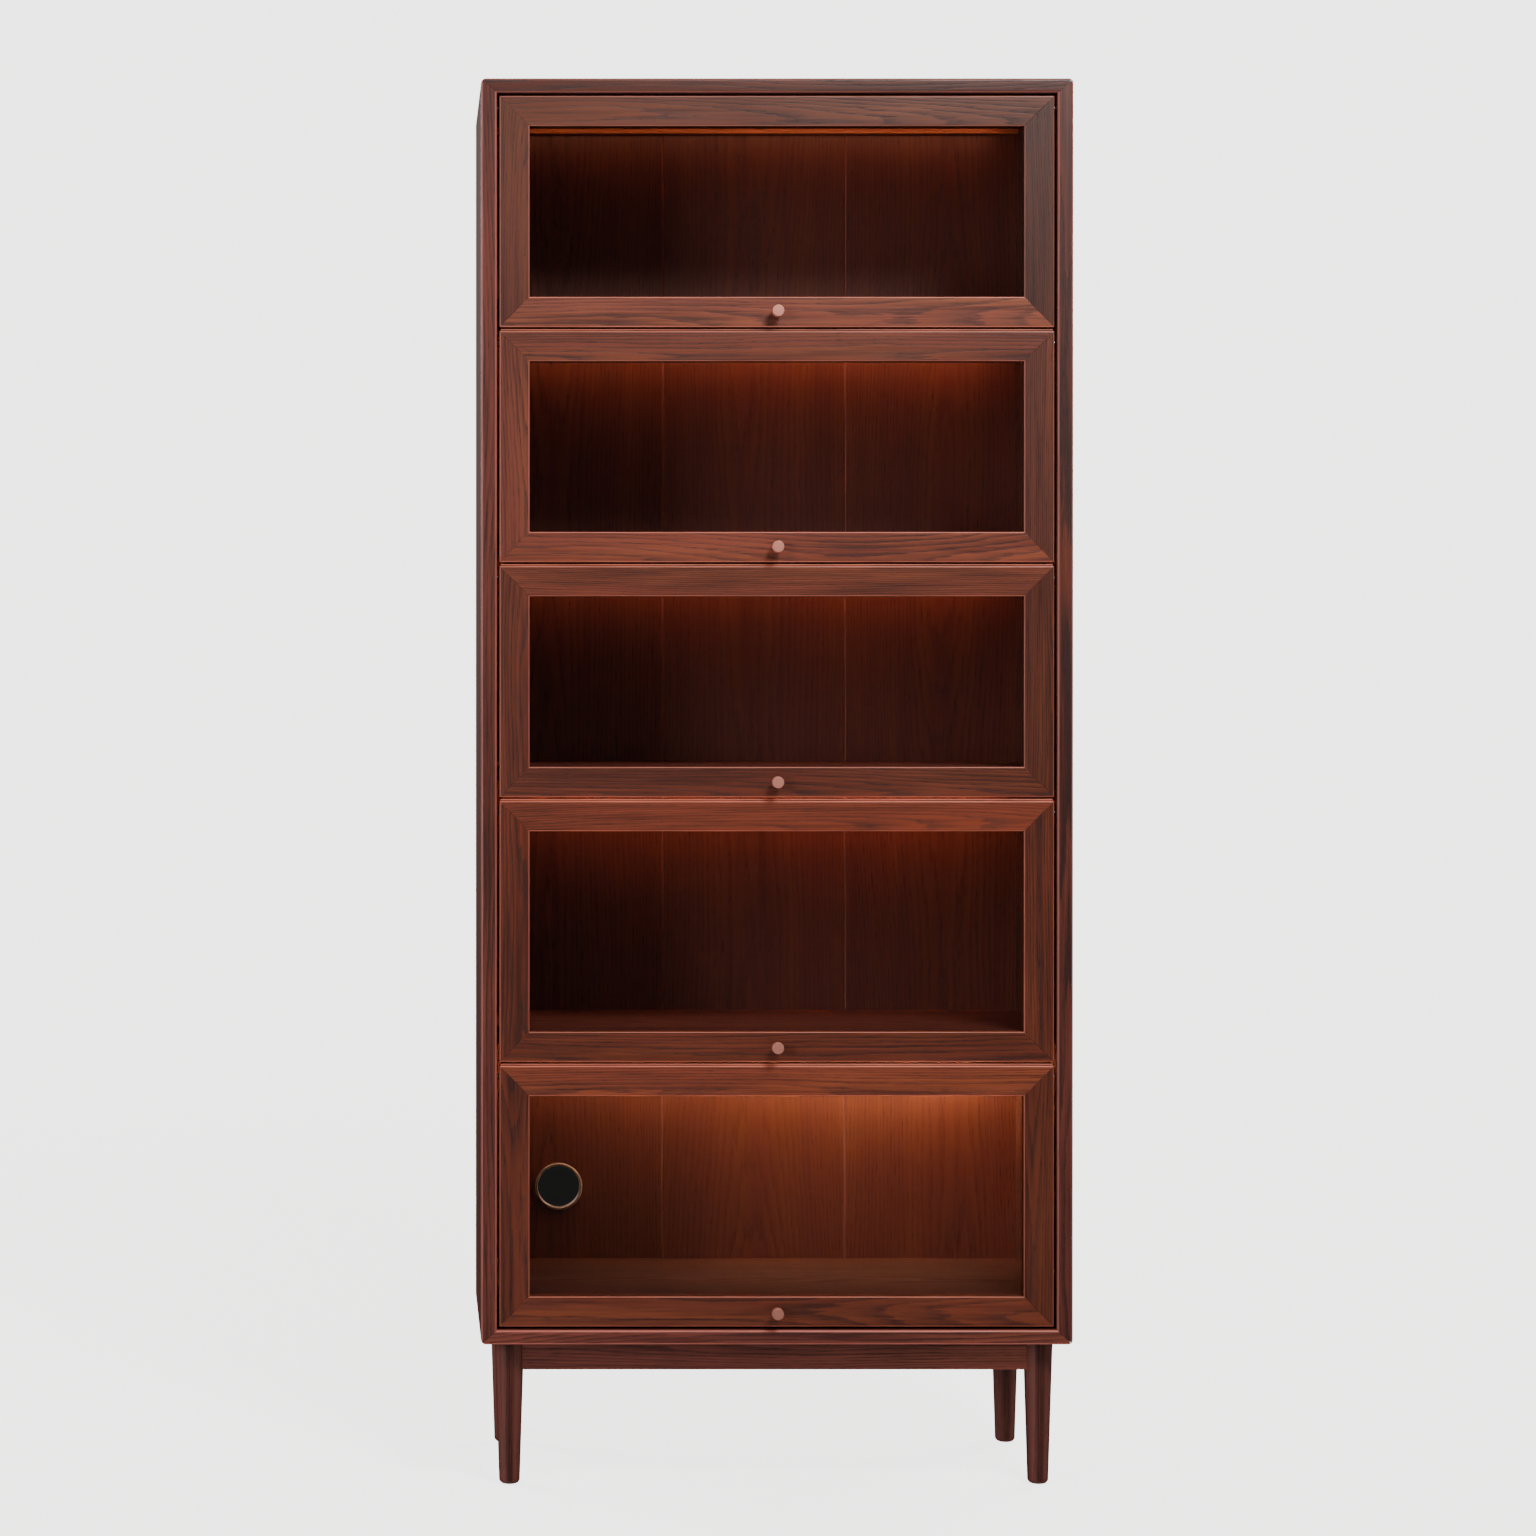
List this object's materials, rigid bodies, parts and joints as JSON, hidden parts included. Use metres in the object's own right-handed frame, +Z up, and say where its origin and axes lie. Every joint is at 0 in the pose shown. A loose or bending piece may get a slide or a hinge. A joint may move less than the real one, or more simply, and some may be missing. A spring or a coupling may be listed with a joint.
{
  "type": "barrister bookcase",
  "caption": "Tall narrow bookcase on turned legs, with stacked glazed doors that each lift at the bottom and slide back under the board above, over lit shelves.",
  "frame": {"origin": "on the floor, at the middle of the footprint of the whole object, knobs included", "axes": "+Z up, +Y to the back, the glazed front and its knobs face -Y, +X to the right of someone facing the front"},
  "size_m": [0.8, 0.3444, 1.906],
  "materials": {
    "case_oak": "red-brown stain under satin lacquer, open oak pores",
    "door_oak": "red-brown stain under satin lacquer, strong cathedral grain",
    "inner_oak": "dark red-brown stain, satin",
    "leg_oak": "dark red-brown stain under satin lacquer",
    "clear_glass": "clear float glass",
    "copper": "matte pinkish copper plate",
    "steel": "bright drawn steel",
    "diffuser": "milky diffuser over warm white lights"
  },
  "bodies": {
    "case": {"top_board": "case_oak", "bottom_board": "case_oak", "left_side_board": "case_oak", "right_side_board": "case_oak", "shelf_1": "inner_oak", "shelf_2": "inner_oak", "shelf_3": "inner_oak", "shelf_4": "inner_oak", "floor_board": "inner_oak", "back_board_left": "inner_oak", "back_board_centre": "inner_oak", "back_board_right": "inner_oak", "led_bar_1": "diffuser", "led_bar_2": "diffuser", "led_bar_3": "diffuser", "led_bar_4": "diffuser", "led_bar_5": "diffuser", "leg_front_left": "leg_oak", "leg_front_right": "leg_oak", "leg_back_left": "leg_oak", "leg_back_right": "leg_oak", "apron_front": "leg_oak", "apron_back": "leg_oak", "apron_left": "leg_oak", "apron_right": "leg_oak"},
    "door_1_runner": {"door_1_pivot_rod": "steel"},
    "door_1": {"door_1_top_rail": "door_oak", "door_1_bottom_rail": "door_oak", "door_1_left_stile": "door_oak", "door_1_right_stile": "door_oak", "door_1_glass": "clear_glass", "door_1_knob": "copper"},
    "door_2_runner": {"door_2_pivot_rod": "steel"},
    "door_2": {"door_2_top_rail": "door_oak", "door_2_bottom_rail": "door_oak", "door_2_left_stile": "door_oak", "door_2_right_stile": "door_oak", "door_2_glass": "clear_glass", "door_2_knob": "copper"},
    "door_3_runner": {"door_3_pivot_rod": "steel"},
    "door_3": {"door_3_top_rail": "door_oak", "door_3_bottom_rail": "door_oak", "door_3_left_stile": "door_oak", "door_3_right_stile": "door_oak", "door_3_glass": "clear_glass", "door_3_knob": "copper"},
    "door_4_runner": {"door_4_pivot_rod": "steel"},
    "door_4": {"door_4_top_rail": "door_oak", "door_4_bottom_rail": "door_oak", "door_4_left_stile": "door_oak", "door_4_right_stile": "door_oak", "door_4_glass": "clear_glass", "door_4_knob": "copper"},
    "door_5_runner": {"door_5_pivot_rod": "steel"},
    "door_5": {"door_5_top_rail": "door_oak", "door_5_bottom_rail": "door_oak", "door_5_left_stile": "door_oak", "door_5_right_stile": "door_oak", "door_5_glass": "clear_glass", "door_5_knob": "copper"}
  },
  "joints": [
    {"name": "door_1_slide", "type": "slide", "parent": "case", "child": "door_1_runner", "axis": [0, 1, 0], "range_m": [0, 0.25]},
    {"name": "door_1_lift", "type": "hinge", "parent": "door_1_runner", "child": "door_1", "pos_m": [0, -0.14285, 1.867], "axis": [-1, 0, 0], "range_deg": [0, 90]},
    {"name": "door_2_slide", "type": "slide", "parent": "case", "child": "door_2_runner", "axis": [0, 1, 0], "range_m": [0, 0.255]},
    {"name": "door_2_lift", "type": "hinge", "parent": "door_2_runner", "child": "door_2", "pos_m": [0, -0.14285, 1.5495], "axis": [-1, 0, 0], "range_deg": [0, 90]},
    {"name": "door_3_slide", "type": "slide", "parent": "case", "child": "door_3_runner", "axis": [0, 1, 0], "range_m": [0, 0.255]},
    {"name": "door_3_lift", "type": "hinge", "parent": "door_3_runner", "child": "door_3", "pos_m": [0, -0.14285, 1.232], "axis": [-1, 0, 0], "range_deg": [0, 90]},
    {"name": "door_4_slide", "type": "slide", "parent": "case", "child": "door_4_runner", "axis": [0, 1, 0], "range_m": [0, 0.266]},
    {"name": "door_4_lift", "type": "hinge", "parent": "door_4_runner", "child": "door_4", "pos_m": [0, -0.14285, 0.9145], "axis": [-1, 0, 0], "range_deg": [0, 90]},
    {"name": "door_5_slide", "type": "slide", "parent": "case", "child": "door_5_runner", "axis": [0, 1, 0], "range_m": [0, 0.266]},
    {"name": "door_5_lift", "type": "hinge", "parent": "door_5_runner", "child": "door_5", "pos_m": [0, -0.14285, 0.5565], "axis": [-1, 0, 0], "range_deg": [0, 90]}
  ],
  "couplings": [
    {"joint": "door_1_slide", "follows": "door_1_lift", "m_per_rad": 0.15915},
    {"joint": "door_2_slide", "follows": "door_2_lift", "m_per_rad": 0.16234},
    {"joint": "door_3_slide", "follows": "door_3_lift", "m_per_rad": 0.16234},
    {"joint": "door_4_slide", "follows": "door_4_lift", "m_per_rad": 0.16934},
    {"joint": "door_5_slide", "follows": "door_5_lift", "m_per_rad": 0.16934}
  ]
}
